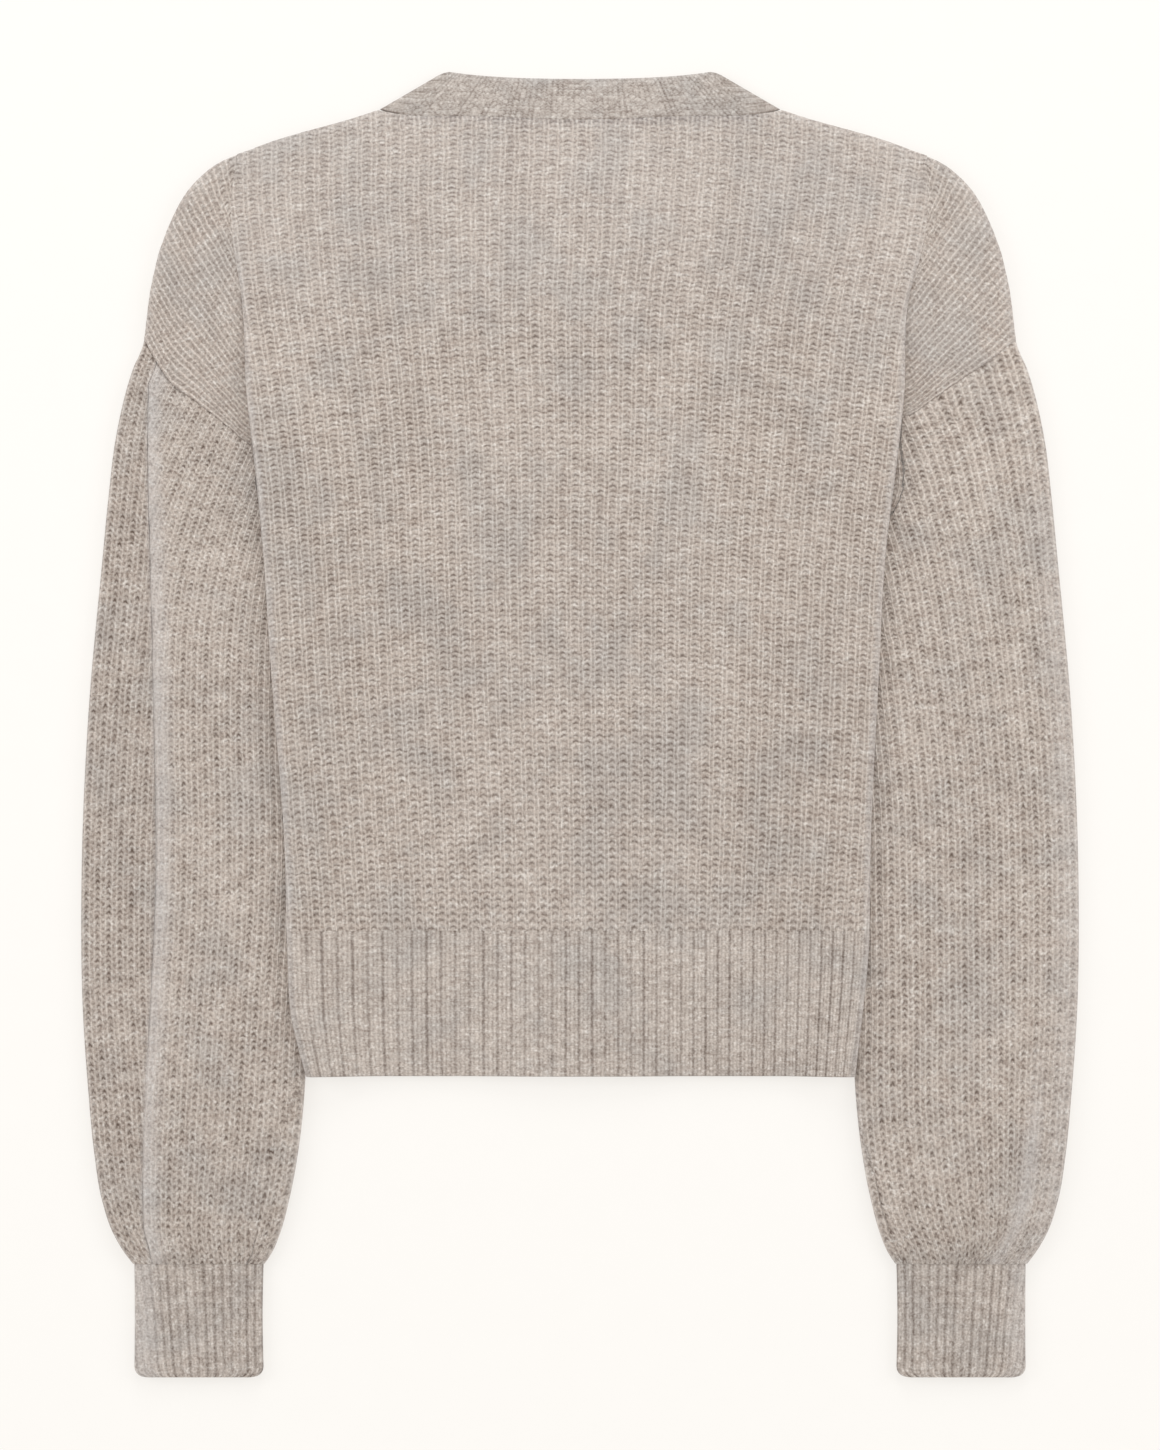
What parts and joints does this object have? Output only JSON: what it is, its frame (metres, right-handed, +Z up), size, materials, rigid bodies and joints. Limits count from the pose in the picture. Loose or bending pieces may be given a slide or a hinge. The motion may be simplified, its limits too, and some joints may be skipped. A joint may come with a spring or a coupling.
{
  "type": "cardigan",
  "caption": "Ribbed knit cardigan laid flat with its back up, with a ribbed neckband and hem, drop shoulders and full sleeves gathered into ribbed cuffs.",
  "frame": {"origin": "middle of the garment's outline, on the surface it lies on", "axes": "+Z up from the surface, +Y from the cuffs to the neck, +X towards the wearer's right side"},
  "size_m": [0.548, 0.7167, 0.0149],
  "materials": {
    "knit": "matte heathered wool, half cardigan rib",
    "trim": "matte heathered wool, fine rib",
    "buttons": "soft gloss, horn-like"
  },
  "bodies": {
    "root": {"back": "knit", "front_left": "knit", "front_right": "knit", "sleeve_left": "knit", "sleeve_right": "knit", "cuff_left": "trim", "cuff_right": "trim", "hem_back": "trim", "hem_front_left": "trim", "hem_front_right": "trim", "neckband": "trim", "band_left": "trim", "band_right": "trim", "button_1": "buttons", "button_2": "buttons", "button_3": "buttons", "button_4": "buttons", "button_5": "buttons", "button_6": "buttons", "button_7": "buttons"}
  },
  "joints": []
}
